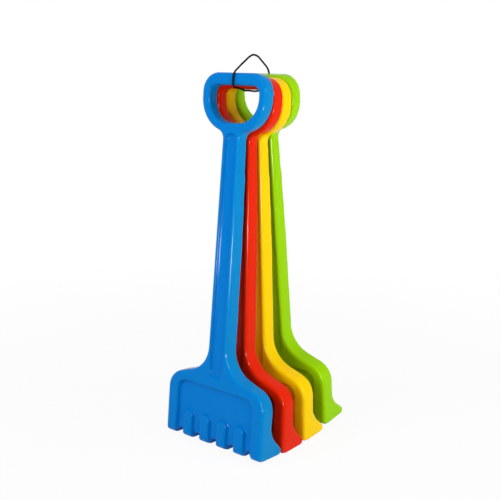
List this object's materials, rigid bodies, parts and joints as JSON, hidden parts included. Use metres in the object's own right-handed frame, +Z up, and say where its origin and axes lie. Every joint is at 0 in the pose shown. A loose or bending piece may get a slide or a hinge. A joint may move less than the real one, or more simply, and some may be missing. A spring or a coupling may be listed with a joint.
{
  "type": "sand rake stack",
  "caption": "Toy sand rakes with D-shaped grips, long grooved shafts and broad toothed heads, stacked and tied by a cord loop through the grips.",
  "frame": {"origin": "centre of the rakes' bounding box in plan, at the level on which the upright red rake's teeth stand; the tie is not counted", "axes": "+X to the right across the rakes, +Y back from the blue rake towards the green one, +Z up along the red rake"},
  "size_m": [0.167, 0.2047, 0.5292],
  "materials": {
    "blue_plastic": "glossy moulded plastic",
    "red_plastic": "glossy moulded plastic",
    "yellow_plastic": "glossy moulded plastic",
    "green_plastic": "glossy moulded plastic",
    "black_cord": "smooth thin cord"
  },
  "bodies": {
    "red": {"rake_red": "red_plastic", "tie": "black_cord"},
    "blue": {"rake_blue": "blue_plastic"},
    "yellow": {"rake_yellow": "yellow_plastic"},
    "green": {"rake_green": "green_plastic"}
  },
  "joints": [
    {"name": "blue_swing", "type": "hinge", "parent": "red", "child": "blue", "pos_m": [0, -0.05102, 0.4901], "axis": [-1, 0, 0], "range_deg": [0, 6]},
    {"name": "yellow_swing", "type": "hinge", "parent": "red", "child": "yellow", "pos_m": [0, -0.03262, 0.486], "axis": [1, 0, 0], "range_deg": [0, 6]},
    {"name": "green_swing", "type": "hinge", "parent": "yellow", "child": "green", "pos_m": [0, -0.01501, 0.49807], "axis": [1, 0, 0], "range_deg": [0, 6]}
  ]
}
